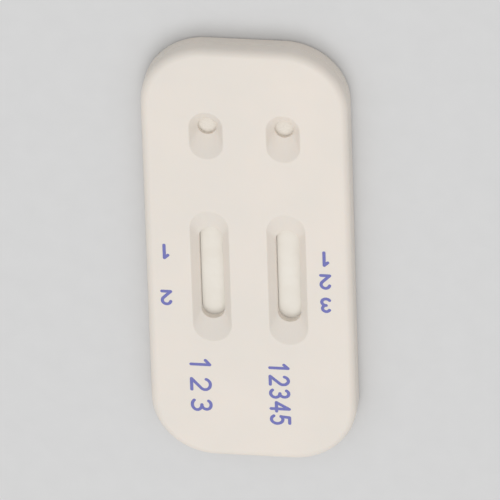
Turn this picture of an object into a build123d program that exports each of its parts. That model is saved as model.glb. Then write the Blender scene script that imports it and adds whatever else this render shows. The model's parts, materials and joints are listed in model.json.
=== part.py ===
"""Lateral flow cassette: two test strips side by side in a moulded case of two halves.

The origin is the middle of the underside. X runs across the case, Y along it from the sample wells
(negative) to the plain grip end (positive), and Z up through the face. All lengths are millimetres.
"""

import os
from math import pi

from build123d import *

# Case outline, seen from above
case_width = 35.0
case_length = 80.0
corner_radius = 11.0

# Case section, heights from the underside
case_height = 5.0
seam_height = 2.4
side_wall = 1.2
face_thickness = 1.0
floor_thickness = 1.0
face_edge_radius = 1.3
base_edge_chamfer = 0.5
seam_groove = 0.12
wall_draft = 1.0

# Lap joint round the seam
tongue_thickness = 0.5
tongue_height = 0.6
seam_clearance = 0.1

# Test strips
strip_pitch = 13.0
strip_width = 4.0
strip_end_room = 4.8
strip_seat_height = 1.8
card_thickness = 0.25
membrane_thickness = 0.15
conjugate_thickness = 0.35
sample_thickness = 0.6
absorbent_thickness = 0.9
conjugate_length = 11.0
membrane_lap = 1.5
sample_lap = 2.0
step_run = 0.6

# Read windows
window_y = 4.15
window_mouth_length = 25.5
window_mouth_width = 6.6
slot_y = 4.2
slot_length = 18.0
slot_width = 4.0
slot_rim_height = 3.6
slot_clearance = 0.1

# Sample wells
well_y = -23.4
well_length = 9.0
well_width = 5.7
hole_y = -24.4
hole_diameter = 3.2
hole_rim_height = 3.3

# Walls under the face
funnel_wall = 1.0
mouth_edge_radius = 0.25

# Channels in the tray that hold the strips
channel_clearance = 0.1
rail_thickness = 0.8
rail_height = 2.15
rail_segment = 18.0
rail_gap = 6.0
stop_height = 2.9
rib_thickness = 0.8
bar_thickness = 0.8
pad_clearance = 0.1

# Six-sided pins of the upper half in the sockets of the lower half, their width across the flats
pin_sides = 6
pin_width = 1.6
pin_tip_gap = 0.2
pin_tip_chamfer = 0.3
socket_clearance = 0.05
socket_diameter = 3.4
shoulder_clearance = 0.05
outer_pin_side_inset = 4.2
outer_pin_end_inset = 16.0
centre_pin_end_inset = 7.0
web_thickness = 0.8

strip_axes = {"left": -strip_pitch / 2, "right": strip_pitch / 2}
strip_length = case_length - 2 * (side_wall + strip_end_room)
strip_start = -strip_length / 2
strip_end = strip_length / 2
card_top = strip_seat_height + card_thickness
membrane_top = card_top + membrane_thickness
conjugate_top = membrane_top + conjugate_thickness
sample_top = card_top + sample_thickness
sample_lap_top = card_top + conjugate_thickness + sample_thickness
absorbent_top = membrane_top + absorbent_thickness
face_underside = case_height - face_thickness
window_skirt_foot = membrane_top + slot_clearance
window_skirt_top = slot_rim_height - funnel_wall
hole_radius = hole_diameter / 2


def case_outline(height, inset=0.0):
    """The rounded outline of the case at a height, moved in from the outside by inset."""
    with BuildSketch(Plane.XY.offset(height)) as outline:
        RectangleRounded(case_width - 2 * inset, case_length - 2 * inset, corner_radius - inset)
    return outline.sketch


def obround(x, y, height, length, width):
    """Two straight sides along Y closed by half circles, as the windows and the well mouths are."""
    radius = width / 2
    half_side = (length - width) / 2
    with BuildSketch(Plane.XY.offset(height)) as outline:
        with BuildLine():
            Line((x + radius, y - half_side), (x + radius, y + half_side))
            CenterArc((x, y + half_side), radius, 0, 180)
            Line((x - radius, y + half_side), (x - radius, y - half_side))
            CenterArc((x, y - half_side), radius, 180, 180)
        make_face()
    return outline.sketch


def hole_outline(x, y, height, radius, side_arc):
    """A circle in two side arcs and two end arcs, which meet the sides and ends of an obround."""
    with BuildSketch(Plane.XY.offset(height)) as outline:
        with BuildLine():
            CenterArc((x, y), radius, -side_arc / 2, side_arc)
            CenterArc((x, y), radius, side_arc / 2, 180 - side_arc)
            CenterArc((x, y), radius, 180 - side_arc / 2, side_arc)
            CenterArc((x, y), radius, 180 + side_arc / 2, 180 - side_arc)
        make_face()
    return outline.sketch


def smooth_side_arc(length, width):
    """The side arc that takes as much of the hole's edge as the straight sides take of the mouth's."""
    straight = length - width
    return 180 * straight / (straight + pi * width / 2)


def well_form(x, grown, foot):
    """A well's funnel, from its mouth in the face to its round foot, larger all round by grown."""
    length = well_length + 2 * grown
    width = well_width + 2 * grown
    mouth = obround(x, well_y, case_height, length, width)
    hole = hole_outline(x, hole_y, foot, hole_radius + grown, smooth_side_arc(length, width))
    with BuildPart() as form:
        loft([hole, mouth])
    return form.part


def window_form(x, grown, foot):
    """A window's funnel, from its mouth in the face down to the slot, larger all round by grown."""
    mouth = obround(x, window_y, case_height, window_mouth_length + 2 * grown, window_mouth_width + 2 * grown)
    slot = obround(x, slot_y, foot, slot_length + 2 * grown, slot_width + 2 * grown)
    with BuildPart() as form:
        loft([slot, mouth])
    return form.part


def slope_clear(funnel_run, clear_height):
    """How far past the window's skirt the sloped underside has risen to clear_height."""
    rise = case_height - window_skirt_top
    return max(pad_clearance, (clear_height + pad_clearance - window_skirt_top) * funnel_run / rise)


# Where the layers of a strip begin and end along Y
skirt_start = slot_y - slot_length / 2 - funnel_wall
skirt_end = slot_y + slot_length / 2 + funnel_wall
near_run = skirt_start - (window_y - window_mouth_length / 2 - funnel_wall)
far_run = window_y + window_mouth_length / 2 + funnel_wall - skirt_end
conjugate_end = skirt_start - slope_clear(near_run, conjugate_top)
membrane_start = conjugate_end - membrane_lap
absorbent_start = skirt_end + slope_clear(far_run, absorbent_top)
membrane_end = absorbent_start + membrane_lap
conjugate_start = conjugate_end - conjugate_length
sample_end = conjugate_start + sample_lap

# Bars under the face: where they stand along Y and how low they reach
pressure_bars = [
    ((conjugate_start + sample_end) / 2, sample_lap_top + pad_clearance),
    ((membrane_start + conjugate_end) / 2, conjugate_top + pad_clearance),
    ((absorbent_start + membrane_end) / 2, absorbent_top + pad_clearance),
    ((membrane_end + strip_end) / 2, absorbent_top + pad_clearance),
]

# Ribs under each strip: at its two ends, and below the well's hole, the slot and each bar
rib_places = [strip_start + rib_thickness / 2, hole_y, slot_y, strip_end - rib_thickness / 2]
rib_places += [bar_y for bar_y, bar_foot in pressure_bars]

# Where the pins and sockets stand
outer_pin_x = case_width / 2 - outer_pin_side_inset
outer_pin_pitch = case_length - 2 * outer_pin_end_inset
centre_pin_pitch = case_length / 2 - centre_pin_end_inset
pin_places = (
    GridLocations(2 * outer_pin_x, outer_pin_pitch, 2, 2).locations
    + GridLocations(strip_pitch, centre_pin_pitch, 1, 3).locations
)
channel_width = strip_width + 2 * channel_clearance
channel_outer_width = channel_width + 2 * rail_thickness

# Upper half of the case
with BuildPart() as upper_shell:
    extrude(case_outline(seam_height), amount=case_height - seam_height, taper=wall_draft)
    fillet(upper_shell.edges().group_by(Axis.Z)[-1], face_edge_radius)
    chamfer(upper_shell.edges().group_by(Axis.Z)[0], seam_groove)
    extrude(case_outline(seam_height, side_wall), amount=face_underside - seam_height, mode=Mode.SUBTRACT)
    extrude(
        case_outline(seam_height, side_wall - tongue_thickness - seam_clearance),
        amount=tongue_height + seam_clearance,
        mode=Mode.SUBTRACT,
    )

    # Funnel walls, skirts and pressure bars for each strip
    for x in strip_axes.values():
        add(well_form(x, funnel_wall, sample_top))
        add(window_form(x, funnel_wall, window_skirt_top))
        extrude(
            obround(x, slot_y, window_skirt_top, slot_length + 2 * funnel_wall, slot_width + 2 * funnel_wall),
            amount=window_skirt_foot - window_skirt_top,
        )
        for bar_y, bar_foot in pressure_bars:
            with BuildSketch(Plane.XY.offset(bar_foot)):
                with Locations((x, bar_y)):
                    Rectangle(channel_outer_width, bar_thickness)
            extrude(amount=face_underside - bar_foot)

    # Pins, each with a shoulder just above its socket
    with BuildSketch(Plane.XY.offset(seam_height + shoulder_clearance)):
        with Locations(pin_places):
            RegularPolygon(socket_diameter / 2, pin_sides)
    extrude(amount=face_underside - seam_height - shoulder_clearance)
    pin_tip_height = floor_thickness + pin_tip_gap
    with BuildSketch(Plane.XY.offset(pin_tip_height)):
        with Locations(pin_places):
            RegularPolygon(pin_width / 2, pin_sides, major_radius=False)
    extrude(amount=face_underside - pin_tip_height)
    chamfer(upper_shell.edges().group_by(Axis.Z)[0], pin_tip_chamfer)

    # Openings of the windows and the wells
    for x in strip_axes.values():
        add(window_form(x, 0, slot_rim_height), mode=Mode.SUBTRACT)
        slot = obround(x, slot_y, slot_rim_height, slot_length, slot_width)
        extrude(slot, amount=window_skirt_foot - slot_rim_height, mode=Mode.SUBTRACT)
        add(well_form(x, 0, hole_rim_height), mode=Mode.SUBTRACT)
        hole = hole_outline(x, hole_y, hole_rim_height, hole_radius, smooth_side_arc(well_length, well_width))
        extrude(hole, amount=sample_top - hole_rim_height, mode=Mode.SUBTRACT)
    face = upper_shell.faces().filter_by(Plane.XY).sort_by(Axis.Z)[-1]
    fillet(face.inner_wires().edges(), mouth_edge_radius)

upper_shell.part.label = "upper_shell"

# Lower half of the case
with BuildPart() as lower_shell:
    extrude(case_outline(seam_height), amount=-seam_height, taper=wall_draft)
    chamfer(lower_shell.edges().group_by(Axis.Z)[0], base_edge_chamfer)
    chamfer(lower_shell.edges().group_by(Axis.Z)[-1], seam_groove)
    extrude(case_outline(seam_height, side_wall - tongue_thickness), amount=tongue_height)
    extrude(
        case_outline(floor_thickness, side_wall),
        amount=seam_height + tongue_height - floor_thickness,
        mode=Mode.SUBTRACT,
    )

    # Ribs that carry the strips, rails beside them and stops at their ends
    with BuildSketch(Plane.XY.offset(floor_thickness)):
        for rib_y in rib_places:
            with Locations((0, rib_y)):
                with GridLocations(strip_pitch, 0, 2, 1):
                    Rectangle(channel_outer_width, rib_thickness)
    extrude(amount=strip_seat_height - floor_thickness)
    rail_offset = (channel_width + rail_thickness) / 2
    rail_pitch = rail_segment + rail_gap
    rail_count = int((strip_length + rail_gap) / rail_pitch)
    with BuildSketch(Plane.XY.offset(floor_thickness)):
        with GridLocations(strip_pitch, rail_pitch, 2, rail_count):
            with GridLocations(2 * rail_offset, 0, 2, 1):
                Rectangle(rail_thickness, rail_segment)
    extrude(amount=rail_height - floor_thickness)
    stop_pitch = strip_length + 2 * channel_clearance + rail_thickness
    with BuildSketch(Plane.XY.offset(floor_thickness)):
        with GridLocations(strip_pitch, stop_pitch, 2, 2):
            Rectangle(channel_outer_width, rail_thickness)
    extrude(amount=stop_height - floor_thickness)

    # Sockets, the outer ones tied to the side wall by a web
    web_length = case_width / 2 - side_wall - outer_pin_x
    with BuildSketch(Plane.XY.offset(floor_thickness)):
        with Locations(pin_places):
            Circle(socket_diameter / 2)
        with GridLocations(2 * outer_pin_x + web_length, outer_pin_pitch, 2, 2):
            Rectangle(web_length, web_thickness)
    extrude(amount=seam_height - floor_thickness)
    with BuildSketch(Plane.XY.offset(floor_thickness)):
        with Locations(pin_places):
            RegularPolygon(pin_width / 2 + socket_clearance, pin_sides, major_radius=False)
    extrude(amount=seam_height - floor_thickness, mode=Mode.SUBTRACT)

lower_shell.part.label = "lower_shell"


def flat_layer(x, start, end, underside, thickness):
    """A flat layer of a strip, from start to end along Y."""
    with BuildPart() as layer:
        with BuildSketch(Plane.XY.offset(underside)):
            with Locations((x, (start + end) / 2)):
                Rectangle(strip_width, end - start)
        extrude(amount=thickness)
    return layer.part


def stepped_pad(x, free_end, step, lap_end, step_height, thickness):
    """A pad on the card that climbs step_height just before step, to lap over the next layer."""
    foot = step - step_run if lap_end > free_end else step + step_run
    lap_underside = card_top + step_height
    with BuildPart() as pad:
        with BuildSketch(Plane.YZ.offset(x)):
            with BuildLine():
                Polyline(
                    (free_end, card_top),
                    (foot, card_top),
                    (step, lap_underside),
                    (lap_end, lap_underside),
                    (lap_end, lap_underside + thickness),
                    (step, lap_underside + thickness),
                    (foot, card_top + thickness),
                    (free_end, card_top + thickness),
                    close=True,
                )
            make_face()
        extrude(amount=strip_width / 2, both=True)
    return pad.part


# The five layers of each strip
pieces = [upper_shell.part, lower_shell.part]
for side, x in strip_axes.items():
    layers = {
        "backing_card": flat_layer(x, strip_start, strip_end, strip_seat_height, card_thickness),
        "membrane": flat_layer(x, membrane_start, membrane_end, card_top, membrane_thickness),
        "conjugate_pad": stepped_pad(
            x, conjugate_start, membrane_start, conjugate_end, membrane_thickness, conjugate_thickness
        ),
        "sample_pad": stepped_pad(
            x, strip_start, conjugate_start, sample_end, conjugate_thickness, sample_thickness
        ),
        "absorbent_pad": stepped_pad(
            x, strip_end, membrane_end, absorbent_start, membrane_thickness, absorbent_thickness
        ),
    }
    for name, layer in layers.items():
        layer.label = f"{side}_{name}"
        pieces.append(layer)

os.makedirs("parts", exist_ok=True)
for piece in pieces:
    export_step(piece, f"parts/{piece.label}.step")
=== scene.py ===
# %% [markdown]
# # Dressing a lateral flow cassette
# A lateral flow cassette is a small moulded case with paper test strips inside. Its two case halves, their
# read windows and their sample wells come from the CAD model at their real size, and they stay as they are.
# This lesson gives them their plastic, makes the soft layers of the strips, prints the numbers on the face
# and sets up a plain studio. Every length is in metres, in the frame of the CAD model.

import json
from math import radians

import bpy
import numpy as np
from mathutils import Matrix, Vector


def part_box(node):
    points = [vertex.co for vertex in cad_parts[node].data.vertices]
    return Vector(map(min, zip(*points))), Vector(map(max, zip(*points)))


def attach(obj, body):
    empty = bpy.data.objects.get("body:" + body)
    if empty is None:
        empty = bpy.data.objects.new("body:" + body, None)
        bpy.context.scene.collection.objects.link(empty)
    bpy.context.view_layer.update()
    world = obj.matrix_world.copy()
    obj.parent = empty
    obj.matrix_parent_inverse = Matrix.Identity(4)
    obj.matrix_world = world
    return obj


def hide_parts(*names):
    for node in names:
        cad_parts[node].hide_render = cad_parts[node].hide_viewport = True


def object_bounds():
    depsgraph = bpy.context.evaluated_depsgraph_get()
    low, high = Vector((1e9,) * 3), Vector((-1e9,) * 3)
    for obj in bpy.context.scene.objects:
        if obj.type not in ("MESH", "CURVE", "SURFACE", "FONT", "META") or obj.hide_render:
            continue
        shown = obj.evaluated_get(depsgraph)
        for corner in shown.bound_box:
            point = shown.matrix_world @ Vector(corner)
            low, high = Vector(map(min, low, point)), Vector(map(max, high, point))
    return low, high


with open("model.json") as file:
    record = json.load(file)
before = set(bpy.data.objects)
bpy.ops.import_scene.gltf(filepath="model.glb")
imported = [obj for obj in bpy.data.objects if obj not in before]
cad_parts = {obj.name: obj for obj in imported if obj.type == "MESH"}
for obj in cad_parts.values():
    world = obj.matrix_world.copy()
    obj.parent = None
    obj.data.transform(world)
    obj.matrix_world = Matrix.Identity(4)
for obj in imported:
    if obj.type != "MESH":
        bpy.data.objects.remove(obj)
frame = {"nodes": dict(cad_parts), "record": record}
cad_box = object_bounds()
MM = 0.001
print("CAD box in mm:", [[round(c / MM, 3) for c in corner] for corner in cad_box])
print("Nodes:", sorted(frame["nodes"]))

# %% [markdown]
# ## Reading the sizes
# The strips are stacks of thin layers, and each CAD node's box says where its layer begins and ends. A pad
# that climbs onto the next layer has a box as tall as its own thickness plus that layer, so the thicknesses
# follow from the boxes. Nothing has to be measured twice.

# %% Strip sizes from the boxes
def span(node, axis):
    """The lowest and highest coordinate of a CAD node along one axis, 0 for X, 1 for Y and 2 for Z."""
    low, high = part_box(node)
    return low[axis], high[axis]


def height(node):
    """A node's height: its highest Z less its lowest."""
    low, high = span(node, 2)
    return high - low


SIDES = ("left", "right")
face_height = cad_box[1][2]
membrane_thickness = height("left_membrane")
conjugate_thickness = height("left_conjugate_pad") - membrane_thickness
sample_thickness = height("left_sample_pad") - conjugate_thickness
absorbent_thickness = height("left_absorbent_pad") - membrane_thickness
print("Layer thicknesses in mm:", [round(t / MM, 3) for t in
      (membrane_thickness, conjugate_thickness, sample_thickness, absorbent_thickness)])

# %% [markdown]
# ## Turning written colours into light
# Colours are read off as three numbers from 0 to 255, as a screen shows them. Blender's shaders add up
# light, so each number is first turned into an amount of light by the standard screen curve.

# %% Colour helper
def light_of(red, green, blue):
    """Screen values to amounts of light, by the standard screen curve.

    With v the value over 255, it is v / 12.92 up to 0.04045 and ((v + 0.055) / 1.055) ** 2.4 above.
    """
    v = np.array([red, green, blue]) / 255
    linear = np.where(v <= 0.04045, v / 12.92, ((v + 0.055) / 1.055) ** 2.4)
    return (*linear.tolist(), 1.0)


print("Cream of the case as light:", [round(c, 3) for c in light_of(230, 222, 213)[:3]])

# %% [markdown]
# ## Small tools for node materials
# A material is a graph of nodes. All the finishes here are built the same way: noise read from Object
# coordinates, so that it sits still on the piece, shapes the colour, the roughness and a bump. A few
# helpers keep that short: they add a node, read a noise, stretch a value to a new range, mix two colours
# and chain bumps. A Mix node has sockets of one name for numbers, vectors and colours, so those for colours
# are found by their place in the list.

# %% Node helpers
MIX_FACTOR, FIRST_COLOUR, SECOND_COLOUR = 0, 6, 7
MIXED_COLOUR = 2


class Finish:
    """A material in the making: its node graph, its shader and its Object coordinates."""

    def __init__(self, name, roughness, ior=1.5):
        self.material = bpy.data.materials.new(name)
        self.material.use_nodes = True
        self.tree = self.material.node_tree
        self.shader = self.tree.nodes["Principled BSDF"]
        self.shader.inputs["Roughness"].default_value = roughness
        self.shader.inputs["IOR"].default_value = ior
        self.place = self.add("ShaderNodeTexCoord").outputs["Object"]

    def add(self, kind, **settings):
        """Adds one node and sets what is named: a socket if it has one of that name, else a property."""
        node = self.tree.nodes.new(kind)
        for key, value in settings.items():
            if key in node.inputs:
                node.inputs[key].default_value = value
            else:
                setattr(node, key, value)
        return node

    def link(self, source, target):
        """Joins an output to an input."""
        self.tree.links.new(source, target)

    def stretched(self, factors):
        """The Object coordinates times one factor for each axis, for grain that runs one way."""
        node = self.add("ShaderNodeMapping")
        node.inputs["Scale"].default_value = factors
        self.link(self.place, node.inputs["Vector"])
        return node.outputs["Vector"]

    def noise(self, size, detail=2.0, place=None):
        """Noise from 0 to 1 whose lumps are about size metres across."""
        node = self.add("ShaderNodeTexNoise", Scale=1 / size, Detail=detail)
        self.link(place or self.place, node.inputs["Vector"])
        return node.outputs["Fac"]

    def ramp(self, value, low, high, start=0.3, end=0.7):
        """A straight line from low at start to high at end, held beyond them."""
        node = self.add("ShaderNodeMapRange")
        for key, number in zip(("From Min", "From Max", "To Min", "To Max"), (start, end, low, high)):
            node.inputs[key].default_value = number
        self.link(value, node.inputs["Value"])
        return node.outputs["Result"]

    def colours(self, value, first, second):
        """Mixes two colours by a value from 0 to 1 and gives the result to the shader's base colour."""
        node = self.add("ShaderNodeMix", data_type="RGBA")
        node.inputs[FIRST_COLOUR].default_value = first
        node.inputs[SECOND_COLOUR].default_value = second
        self.link(value, node.inputs[MIX_FACTOR])
        self.link(node.outputs[MIXED_COLOUR], self.shader.inputs["Base Color"])

    def bumps(self, *layers):
        """Chains bumps, each a value and its relief in metres, into the shader's normal."""
        normal = None
        for value, relief in layers:
            node = self.add("ShaderNodeBump", Strength=1.0, Distance=relief)
            self.link(value, node.inputs["Height"])
            if normal:
                self.link(normal, node.inputs["Normal"])
            normal = node.outputs["Normal"]
        self.link(normal, self.shader.inputs["Normal"])


print("Node helpers are ready")

# %% [markdown]
# ## The plastic of the case
# The halves are injection-moulded polystyrene in a warm cream white. The mould was spark-finished, so the
# surface has a very fine matt grain that breaks up the highlight, and it draws in a little where the
# plastic is thick, which shows as a soft waviness. A little subsurface light keeps the thin walls milky.

# %% Case plastic
def make_case_plastic():
    """A slow cloud tints it, a fine grain breaks its gloss, and sink and grain give the relief."""
    finish = Finish("satin_polystyrene", roughness=0.45, ior=1.58)
    cloud = finish.noise(14 * MM, detail=3.0)
    finish.colours(finish.ramp(cloud, 0.0, 1.0), light_of(232, 223, 213), light_of(227, 220, 211))
    grain = finish.noise(0.16 * MM, detail=3.0)
    sink = finish.noise(9 * MM, detail=1.0)
    finish.link(finish.ramp(grain, 0.40, 0.54), finish.shader.inputs["Roughness"])
    finish.bumps((sink, 0.03 * MM), (grain, 0.006 * MM))
    finish.shader.inputs["Subsurface Weight"].default_value = 0.12
    finish.shader.inputs["Subsurface Radius"].default_value = (1.0, 0.75, 0.55)
    finish.shader.inputs["Subsurface Scale"].default_value = 0.8 * MM
    return finish.material


case_plastic = make_case_plastic()
for node in ("upper_shell", "lower_shell"):
    frame["nodes"][node].data.materials[0] = case_plastic
print("Plastic on the case:", case_plastic.name)

# %% [markdown]
# ## The backing cards
# Each strip is built on a thin white plastic card. It lies out of sight under the other layers, and it is
# smooth, with the faint streaks that a calender roll leaves along the sheet.

# %% Card plastic
def make_card_plastic():
    """Noise drawn out along Y gives the streaks, both their tint and their relief."""
    finish = Finish("calendered_card", roughness=0.4, ior=1.53)
    streak = finish.noise(0.6 * MM, detail=2.0, place=finish.stretched((1.0, 0.05, 1.0)))
    finish.colours(finish.ramp(streak, 0.0, 1.0), light_of(236, 236, 233), light_of(230, 230, 228))
    finish.bumps((streak, 0.004 * MM))
    return finish.material


card_plastic = make_card_plastic()
for side in SIDES:
    frame["nodes"][f"{side}_backing_card"].data.materials[0] = card_plastic
print("Plastic on the cards:", card_plastic.name)

# %% [markdown]
# ## The shape of a strip layer
# Every soft layer is a thin slab: flat where it is pressed between its neighbours, and a little round at
# its rim, where it was cut. Two grids make it, one above and one below the middle of the layer, and they
# share their rim. The height of both comes from one function of two parameters, so the slab can bend over
# a step and swell in a hole without any modelling by hand.

# %% Grid of a closed slab
def slab_faces(rows, columns):
    """Corner numbers of all quads: an upper grid, then a lower one turned over.

    The lower grid reuses the rim of the upper one, so the slab is closed.
    """
    upper = np.arange(rows * columns).reshape(rows, columns)
    lower = upper.copy()
    inside = (rows - 2) * (columns - 2)
    lower[1:-1, 1:-1] = rows * columns + np.arange(inside).reshape(rows - 2, columns - 2)

    def quads(grid):
        corners = grid[:-1, :-1], grid[:-1, 1:], grid[1:, 1:], grid[1:, :-1]
        return np.stack(corners, axis=-1).reshape(-1, 4)

    return np.vstack([quads(upper), quads(lower)[:, ::-1]])


def slab_points(upper, lower):
    """One row for each point: all of the upper grid, then the lower grid without the rim they share."""
    return np.vstack([upper.reshape(-1, 3), lower[1:-1, 1:-1].reshape(-1, 3)])


def rounded(distance, radius):
    """A quarter circle: 0 at the rim, 1 from radius inwards, sqrt(1 - (1 - d / r) ** 2) between."""
    inward = np.clip(distance / radius, 0, 1)
    return np.sqrt(1 - (1 - inward) ** 2)


print("Faces of a 4 by 3 slab:", len(slab_faces(4, 3)))

# %% [markdown]
# ## From numbers to a piece
# A mesh is made from its points and faces, is shaded smooth, and becomes an object at the origin, so that
# its place lies in its points as a CAD node's does. Each piece then gets its material and its slot and
# rides on the part's one body. Where a piece stands in for a CAD node, the plain solid hides.

# %% Piece helpers
def smooth_piece(name, points, faces):
    """A new object at the origin with smooth faces, from rows of coordinates and of corner numbers."""
    mesh = bpy.data.meshes.new(name)
    mesh.from_pydata(points, [], faces)
    mesh.polygons.foreach_set("use_smooth", np.ones(len(mesh.polygons), bool))
    mesh.update()
    piece = bpy.data.objects.new(name, mesh)
    bpy.context.scene.collection.objects.link(piece)
    print(f"{name}: {len(mesh.polygons)} quads")
    return piece


def finish_piece(piece, material, node=None):
    """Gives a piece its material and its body. node is the CAD node whose place it takes."""
    piece.data.materials.append(material)
    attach(piece, "root")
    if node:
        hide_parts(node)


print("Piece helpers are ready")

# %% [markdown]
# ## Fibre relief
# Paper and glass-fibre pads are felted from short fibres. A few hundred straight ridges laid at random
# angles give that relief: each ridge is a smooth wave across its own direction, cut to a short length.
# The same seed gives the same felt every time.

# %% Felt relief
def felt(x, y, fibres, length, width, seed):
    """Relief from 0 to 1: at each point the highest of many ridges.

    A ridge is exp(-(across / width) ** 2 - (along / length) ** 4) times a height from 0.5 to 1.
    """
    rng = np.random.default_rng(seed)
    relief = np.zeros_like(x)
    for _ in range(fibres):
        cx = rng.uniform(x.min(), x.max())
        cy = rng.uniform(y.min(), y.max())
        turn = rng.uniform(0, np.pi)
        along = (x - cx) * np.cos(turn) + (y - cy) * np.sin(turn)
        across = (y - cy) * np.cos(turn) - (x - cx) * np.sin(turn)
        ridge = np.exp(-((across / width) ** 2) - (along / length) ** 4)
        relief = np.maximum(relief, ridge * rng.uniform(0.5, 1.0))
    return relief


sample_x, sample_y = np.meshgrid(np.linspace(0, 1, 50), np.linspace(0, 1, 50))
print("Felt covers, mean:", round(float(felt(sample_x, sample_y, 60, 0.3, 0.03, 1).mean()), 3))

# %% [markdown]
# ## Climbing a step
# Where one layer laps over the next, it has to rise by the thickness of what it climbs. Soft paper doesn't
# kink there but rises in an easy curve, and it has risen in full when it reaches the edge of the layer
# below, so the two never cut into each other.

# %% Rise of a layer
STEP_RUN = 0.6 * MM


def climb(y, step, direction, rise):
    """An S-curve from 0 to rise, rise * (3 t ** 2 - 2 t ** 3).

    t runs from 0 to 1 over the last STEP_RUN before step. direction is 1 towards +Y and -1 towards -Y.
    """
    t = np.clip((y - step) * direction / STEP_RUN + 1, 0, 1)
    return rise * (3 * t**2 - 2 * t**3)


print("Half a run before the step, the rise is", climb(-STEP_RUN / 2, 0.0, 1, 1.0))

# %% [markdown]
# ## One function for every layer
# A layer is given by its node's box, the thickness, how far its edge is rounded and how it climbs. Its
# middle line starts on the layer's own floor and rises by the step along the S-curve, so that it lies on
# the layer that it laps over. The relief only takes height away, so it never leaves the layer's own space.

# %% Layer surface
def grid_lines(low, high, cell):
    """How many grid lines a stretch gets when they stand about one cell apart: its length / cell + 1."""
    return int((high - low) / cell) + 1


def layer(name, node, thickness, cell, edge, relief, step=None, direction=1, rise=0.0, dome=None):
    """A slab over the node's box: middle height plus and minus half the thickness, rounded to 0 at the rim.

    relief is a function of x and y that gives the depth taken from the upper side. dome is the place, the
    radius and the height of a swelling height * (1 - (r / radius) ** 2) ** 2 in an open hole.
    """
    (x0, x1), (y0, y1), (z0, _) = span(node, 0), span(node, 1), span(node, 2)
    columns, rows = grid_lines(x0, x1, cell), grid_lines(y0, y1, cell)
    # a half cosine crowds the grid towards the long edges, where the slab turns
    u = (1 - np.cos(np.linspace(0, np.pi, columns))) / 2
    v = np.linspace(0, 1, rows)
    x, y = np.meshgrid(x0 + (x1 - x0) * u, y0 + (y1 - y0) * v)
    rim = rounded(np.minimum(x - x0, x1 - x), edge) * rounded(np.minimum(y - y0, y1 - y), edge)
    middle = z0 + thickness / 2 + (climb(y, step, direction, rise) if step is not None else 0)
    upper = middle + rim * (thickness / 2 - relief(x, y))
    if dome:
        (cx, cy), radius, tall = dome
        inside = np.clip(1 - ((x - cx) ** 2 + (y - cy) ** 2) / radius**2, 0, 1)
        upper = upper + tall * inside**2
    lower = middle - rim * thickness / 2
    points = slab_points(np.stack([x, y, upper], axis=-1), np.stack([x, y, lower], axis=-1))
    return smooth_piece(name, points, slab_faces(rows, columns))


print("Grid lines along the membrane, 0.15 mm apart:", grid_lines(*span("left_membrane", 1), 0.15 * MM))

# %% [markdown]
# ## The membranes
# The membrane under each read slot is cast nitrocellulose: a brittle white film with pores of a few
# micrometres, so it is dead matt and very even. Only a trace of waviness and a fine pore grain keep it
# from looking like paint.

# %% Membrane finish and pieces
def make_membrane_finish():
    """A slow cloud tints it, and cloud and pores give the relief, with hardly any gloss."""
    finish = Finish("porous_membrane", roughness=0.85)
    pores = finish.noise(0.05 * MM, detail=4.0)
    cloud = finish.noise(3 * MM, detail=2.0)
    finish.colours(finish.ramp(cloud, 0.0, 1.0), light_of(237, 233, 225), light_of(233, 228, 219))
    finish.bumps((cloud, 0.01 * MM), (pores, 0.004 * MM))
    finish.shader.inputs["Specular IOR Level"].default_value = 0.2
    return finish.material


def membrane_relief(x, y):
    """A slow wave of two microns: a product of two sines along and across the strip."""
    return 0.002 * MM * (1 + np.sin(x / (0.7 * MM)) * np.sin(y / (1.9 * MM))) / 2


membrane_finish = make_membrane_finish()
for side in SIDES:
    node = f"{side}_membrane"
    piece = layer(
        f"{side}_membrane_film", node, membrane_thickness, cell=0.15 * MM, edge=0.05 * MM,
        relief=membrane_relief,
    )
    finish_piece(piece, membrane_finish, node)

# %% [markdown]
# ## The fibre pads
# Each strip carries three pads. The sample pad shows in the round hole of the well, so it gets the finest
# felt, and it swells a little where nothing presses on it. The conjugate pad is thin glass fibre with
# dried reagent, and the absorbent pad at the far end is thick soft paper.

# %% Pad finishes
def make_pad_finish(name, first, second, fibre, relief):
    """Felted paper: noise stretched along X and along Y for the fibres gives both colour and bump."""
    finish = Finish(name, roughness=0.9)
    one = finish.noise(fibre, detail=3.0, place=finish.stretched((1.0, 0.3, 1.0)))
    two = finish.noise(fibre, detail=3.0, place=finish.stretched((0.3, 1.0, 1.0)))
    both = finish.add("ShaderNodeMath", operation="MAXIMUM")
    finish.link(one, both.inputs[0])
    finish.link(two, both.inputs[1])
    fibres = both.outputs[0]
    blend = finish.ramp(fibres, 0.0, 1.0, start=0.4, end=0.7)
    finish.colours(blend, light_of(*first), light_of(*second))
    finish.bumps((fibres, relief))
    finish.shader.inputs["Specular IOR Level"].default_value = 0.2
    finish.shader.inputs["Sheen Weight"].default_value = 0.1
    return finish.material


sample_finish = make_pad_finish(
    "sample_paper", (226, 220, 210), (236, 230, 221), fibre=0.12 * MM, relief=0.02 * MM)
conjugate_finish = make_pad_finish(
    "conjugate_fibre", (214, 183, 175), (224, 199, 190), fibre=0.1 * MM, relief=0.015 * MM)
absorbent_finish = make_pad_finish(
    "absorbent_paper", (230, 228, 222), (238, 236, 230), fibre=0.2 * MM, relief=0.03 * MM)
print("Pad finishes:", sample_finish.name, conjugate_finish.name, absorbent_finish.name)

# %% [markdown]
# ## Laying the pads
# The pads lap over one another like roof tiles, so that the liquid runs from one to the next: the sample
# pad lies on the conjugate pad, and the conjugate and absorbent pads lie on the ends of the membrane. Each
# is the same slab with felt of its own, told where its neighbour begins. The place and the radius of the
# well's hole, where the sample pad may swell, come from the record's mounts.

# %% Pads of both strips
HOLES = {m["name"]: m for m in frame["record"]["mounts"] if m["kind"] == "bore"}
SWELLING = 0.12 * MM


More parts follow.
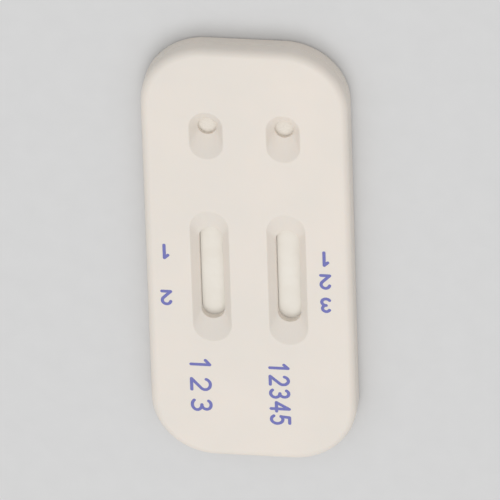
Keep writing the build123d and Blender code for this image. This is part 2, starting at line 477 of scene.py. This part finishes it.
def hole_dome(side):
    """The middle and the radius of the well's hole, and how high the sample pad swells in it."""
    hole = HOLES[f"{side}_sample_well"]
    return hole["pos_m"][:2], hole["dims"]["r_mm"] * MM, SWELLING


def felt_relief(depth, fibres, length, width, seed):
    """A relief that takes depth away between the fibres and less on top of them, depth * (1 - felt)."""
    return lambda x, y: depth * (1 - felt(x, y, fibres, length, width, seed))


for number, side in enumerate(SIDES):
    sample, conjugate, absorbent = (f"{side}_{kind}_pad" for kind in ("sample", "conjugate", "absorbent"))
    membrane_start, membrane_end = span(f"{side}_membrane", 1)
    conjugate_start = span(conjugate, 1)[0]
    piece = layer(
        f"{side}_sample_paper", sample, sample_thickness, cell=0.1 * MM, edge=0.12 * MM,
        relief=felt_relief(0.03 * MM, fibres=240, length=0.9 * MM, width=0.05 * MM, seed=10 + number),
        step=conjugate_start, direction=1, rise=conjugate_thickness, dome=hole_dome(side),
    )
    finish_piece(piece, sample_finish, sample)
    piece = layer(
        f"{side}_conjugate_fibre", conjugate, conjugate_thickness, cell=0.15 * MM, edge=0.08 * MM,
        relief=felt_relief(0.02 * MM, fibres=120, length=0.9 * MM, width=0.06 * MM, seed=20 + number),
        step=membrane_start, direction=1, rise=membrane_thickness,
    )
    finish_piece(piece, conjugate_finish, conjugate)
    piece = layer(
        f"{side}_absorbent_paper", absorbent, absorbent_thickness, cell=0.15 * MM, edge=0.2 * MM,
        relief=felt_relief(0.04 * MM, fibres=160, length=1.2 * MM, width=0.08 * MM, seed=30 + number),
        step=membrane_end, direction=-1, rise=membrane_thickness,
    )
    finish_piece(piece, absorbent_finish, absorbent)

# %% [markdown]
# ## The print on the face
# The face is pad-printed: line numbers beside each window, and a longer number sideways beyond each one.
# A pad lays down a film of ink a few micrometres thick, in strokes of even width with soft round ends. So
# each numeral is drawn here as a pen would draw it: a few lines and arcs, each one a strip with a round
# cap at both ends, and a film that thins out towards its edge. The ink is a blue violet, a little uneven.

# %% Ink
def make_ink():
    """A fine unevenness mixes two blue violets and ruffles the film."""
    finish = Finish("printing_ink", roughness=0.5)
    screen = finish.noise(0.12 * MM, detail=3.0)
    finish.colours(finish.ramp(screen, 0.0, 1.0), light_of(102, 104, 176), light_of(116, 119, 189))
    finish.bumps((screen, 0.004 * MM))
    return finish.material


ink = make_ink()
print("Ink:", ink.name)

# %% [markdown]
# ## Numerals as pen lines
# A font could give the numerals, but its outlines have sharp corners and lines of changing width, which
# such a plate doesn't print. So each numeral is written down as the lines that the middle of the pen
# follows: straight runs and arcs in a box 1 tall, with its lower left corner at 0, 0.

# %% Pen lines of the numerals
NUMERAL_WIDTH = 0.64
RUN_POINTS = 5
ARC_POINTS = 28


def line(*corners):
    """Straight runs through the corners, one pen line for each run: a * (1 - t) + b * t."""
    t = np.linspace(0, 1, RUN_POINTS)[:, None]
    return [np.array(a) * (1 - t) + np.array(b) * t for a, b in zip(corners[:-1], corners[1:])]


def arc(centre, wide, tall, start, end):
    """Part of an ellipse: centre + (wide cos a, tall sin a), with a in degrees from start to end."""
    a = np.radians(np.linspace(start, end, ARC_POINTS))
    return [np.stack([centre[0] + wide * np.cos(a), centre[1] + tall * np.sin(a)], axis=-1)]


NUMERALS = {
    "1": line((0.10, 0.78), (0.34, 1.0), (0.34, 0.0)),
    "2": arc((0.30, 0.71), 0.29, 0.29, 165, -38) + line((0.529, 0.531), (0.0, 0.0), (0.60, 0.0)),
    "3": arc((0.29, 0.755), 0.25, 0.245, 150, -90) + arc((0.29, 0.255), 0.29, 0.255, 90, -145),
    "4": line((0.46, 0.0), (0.46, 1.0), (0.0, 0.30), (NUMERAL_WIDTH, 0.30)),
    "5": line((0.54, 1.0), (0.12, 1.0), (0.07, 0.53)) + arc((0.28, 0.315), 0.30, 0.315, 137, -145),
}
print("Pen lines in each numeral:", {digit: len(lines) for digit, lines in NUMERALS.items()})

# %% [markdown]
# ## From a pen line to a film of ink
# A line of wet ink is thickest along its middle and runs out to nothing at its edge. So a half ellipse is
# carried along the pen line, and its mirror image closes it from below. At both ends the section shrinks
# as it steps on by a quarter circle, which makes the round cap. The closed grid is the one of the slabs.

# %% A strip of ink
CAP_STEPS = 6
SECTION_POINTS = 7


def pen_strip(path, pen, film):
    """Closed film along a path: path(s) + t * half-width * across(s), thickness film * sqrt(1 - t ** 2).

    A round cap at each end steps on by pen / 2 * sin(c), while the half-width falls to pen / 2 * cos(c).
    """
    along = np.gradient(path, axis=0)
    along /= np.linalg.norm(along, axis=1)[:, None]
    c = np.linspace(0, np.pi / 2, CAP_STEPS + 1)[1:, None]
    start_cap = path[0] - along[0] * pen / 2 * np.sin(c[::-1])
    end_cap = path[-1] + along[-1] * pen / 2 * np.sin(c)
    middle = np.vstack([start_cap, path, end_cap])
    along = np.vstack([np.repeat(along[:1], len(c), 0), along, np.repeat(along[-1:], len(c), 0)])
    half = pen / 2 * np.vstack([np.cos(c[::-1]), np.ones((len(path), 1)), np.cos(c)])
    across = np.stack([-along[:, 1], along[:, 0]], axis=-1)
    t = -np.cos(np.linspace(0, np.pi, SECTION_POINTS))
    flat = middle[:, None, :] + t[None, :, None] * (half * across)[:, None, :]
    rise = (film * np.sqrt(1 - t**2) * (half / (pen / 2)))[..., None]
    points = slab_points(np.concatenate([flat, rise], axis=-1), np.concatenate([flat, -rise], axis=-1))
    return points, slab_faces(len(middle), len(t))[:, ::-1]


one_points, one_faces = pen_strip(NUMERALS["3"][0], 0.17, 0.01)
print("One strip of ink:", len(one_points), "points,", len(one_faces), "faces")

# %% [markdown]
# ## Setting a number
# A number is a row of numerals, stretched to their height and width and set at an even pitch, then turned
# and laid on the face. All of them share one pen, because a printing plate is engraved with lines of one
# width. Where two lines of a numeral meet, their films would share a surface and show as a dark dot, so
# each line is a little thinner than the one before it.

# %% Number piece
PEN = 0.56 * MM
FILM = 0.006 * MM
THINNER = 0.8


def printed(name, digits, centre, tall, wide, pitch, turn):
    """Numerals of that height and width, one every pitch, turned about Z and laid on the face at centre.

    A point p of a numeral goes to (p - middle) * (wide / NUMERAL_WIDTH, tall) + its place in the row.
    """
    points, faces, count = [], [], 0
    for place, digit in enumerate(digits):
        shift = (place - (len(digits) - 1) / 2) * pitch
        for order, path in enumerate(NUMERALS[digit]):
            placed = (path - (NUMERAL_WIDTH / 2, 0.5)) * (wide / NUMERAL_WIDTH, tall) + (shift, 0)
            strip_points, strip_faces = pen_strip(placed, PEN, FILM * THINNER**order)
            points.append(strip_points)
            faces.append(strip_faces + count)
            count += len(strip_points)
    c, s = np.cos(turn), np.sin(turn)
    turned = np.vstack(points) @ np.array([[c, s, 0], [-s, c, 0], [0, 0, 1]])
    piece = smooth_piece(name, turned + (*centre, face_height), np.vstack(faces))
    finish_piece(piece, ink)


print(f"Pen {PEN / MM:.2f} mm wide, film {FILM / MM:.3f} mm thick")

# %% [markdown]
# ## Placing the numbers
# Two line numbers stand beside one window and three beside the other, each where a line of the strip would
# show. Beyond each window a longer number runs sideways, so that it reads with the case held across.
# Each place is the middle of a number on the face, in millimetres from the middle of the case.

# %% Printed numbers
LINE_MARKS = [
    ("1", 14.2, -0.4), ("2", 14.2, 8.7),
    ("1", -12.9, -0.4), ("2", -12.9, 4.1), ("3", -12.9, 8.7),
]
for mark, (digit, x, y) in enumerate(LINE_MARKS):
    printed(
        f"line_number_{mark}", digit, (x * MM, y * MM),
        tall=2.5 * MM, wide=1.6 * MM, pitch=0.0, turn=0.0,
    )
SIDEWAYS = np.pi / 2
printed(
    "short_number", "123", (8.8 * MM, 25.7 * MM),
    tall=3.2 * MM, wide=2.3 * MM, pitch=4.1 * MM, turn=SIDEWAYS,
)
printed(
    "long_number", "12345", (-4.6 * MM, 26.8 * MM),
    tall=3.1 * MM, wide=1.75 * MM, pitch=2.6 * MM, turn=SIDEWAYS,
)

# %% [markdown]
# ## The studio floor
# The cassette lies on a sheet of plain pale grey paper, large enough to fill the picture from every side.
# It sits a hair below the underside of the case, so that the two flat faces don't fight for one plane.

# %% Floor
FLOOR_HALF = 3.0
FLOOR_DROP = 0.02 * MM


def make_floor():
    """One large square just under the height of the underside of the case."""
    mesh = bpy.data.meshes.new("floor")
    corners = [(x * FLOOR_HALF, y * FLOOR_HALF, 0) for x, y in ((-1, -1), (1, -1), (1, 1), (-1, 1))]
    mesh.from_pydata(corners, [], [(0, 1, 2, 3)])
    finish = Finish("studio_floor", roughness=0.8)
    paper = finish.noise(4 * MM, detail=3.0)
    finish.colours(finish.ramp(paper, 0.0, 1.0), light_of(213, 213, 213), light_of(215, 215, 215))
    mesh.materials.append(finish.material)
    floor = bpy.data.objects.new("floor", mesh)
    floor.location.z = -FLOOR_DROP
    bpy.context.scene.collection.objects.link(floor)
    return floor


floor = make_floor()
print("Floor:", [round(d, 2) for d in floor.dimensions], "m")

# %% [markdown]
# ## World and lamp
# The world is a wide soft light that is strongest overhead and fades towards the horizon, so upright walls
# come out darker than the face. One soft lamp high beyond the grip end gives the slopes and the well ends
# their shade. The two add up to a level at which a colour renders about as it is written. The camera and
# all reflections see a plain grey like the floor's instead.

# %% Lights
def make_world(horizon, overhead, seen):
    """Light that grows with the sine of the height, from horizon to overhead, as under a wide soft box.

    The camera and reflections see the backdrop's own grey instead.
    """
    world = bpy.data.worlds.new("studio")
    world.use_nodes = True
    nodes, links = world.node_tree.nodes, world.node_tree.links
    background = nodes["Background"]
    direction = nodes.new("ShaderNodeTexCoord")
    parts = nodes.new("ShaderNodeSeparateXYZ")
    links.new(direction.outputs["Generated"], parts.inputs["Vector"])
    glow = nodes.new("ShaderNodeMapRange")
    glow.inputs["To Min"].default_value = horizon
    glow.inputs["To Max"].default_value = overhead
    links.new(parts.outputs["Z"], glow.inputs["Value"])
    path = nodes.new("ShaderNodeLightPath")
    seen_by = nodes.new("ShaderNodeMath")
    seen_by.operation = "MAXIMUM"
    links.new(path.outputs["Is Camera Ray"], seen_by.inputs[0])
    links.new(path.outputs["Is Glossy Ray"], seen_by.inputs[1])
    mix = nodes.new("ShaderNodeMix")
    mix.data_type = "RGBA"
    links.new(glow.outputs["Result"], mix.inputs[FIRST_COLOUR])
    mix.inputs[SECOND_COLOUR].default_value = seen
    links.new(seen_by.outputs[0], mix.inputs[MIX_FACTOR])
    links.new(mix.outputs[MIXED_COLOUR], background.inputs["Color"])
    bpy.context.scene.world = world


def make_sun(direction, strength, softness):
    """A soft lamp far away: direction points to it, and softness is how wide it looks, as an angle."""
    lamp = bpy.data.lights.new("key", "SUN")
    lamp.energy = strength
    lamp.angle = softness
    sun = bpy.data.objects.new("key", lamp)
    sun.rotation_euler = Vector(direction).to_track_quat("Z", "Y").to_euler()
    bpy.context.scene.collection.objects.link(sun)


make_world(horizon=0.37, overhead=1.06, seen=light_of(213, 213, 213))
make_sun((0.0, 0.55, 1.1), strength=0.53, softness=radians(35))
print("World and key light are set")

# %% [markdown]
# ## The camera
# The picture was taken from far away with a long lens, so parallel edges stay almost parallel. The three
# directions below are the camera's right, its up and the way back to it, in the frame of the case.

# %% Camera
def make_camera(right, up, back, target, distance, lens):
    """Columns right, up and back make the turn, and the camera stands at target + back * distance."""
    turn = Matrix((right, up, back)).transposed()
    data = bpy.data.cameras.new("camera")
    data.lens = lens
    data.sensor_width = 36.0
    data.clip_start, data.clip_end = 0.05, 20.0
    camera = bpy.data.objects.new("camera", data)
    camera.matrix_world = Matrix.Translation(Vector(target) + Vector(back) * distance) @ turn.to_4x4()
    bpy.context.scene.collection.objects.link(camera)
    bpy.context.scene.camera = camera
    return camera


camera = make_camera(
    right=(-0.9901, 0.0284, -0.1372), up=(0.0477, -0.8522, -0.5210), back=(-0.1317, -0.5224, 0.8425),
    target=(0.0, 0.0, 2.5 * MM), distance=2.1, lens=900.0,
)
bpy.context.scene.view_settings.view_transform = "Standard"
print("Camera at", [round(c, 3) for c in camera.location])
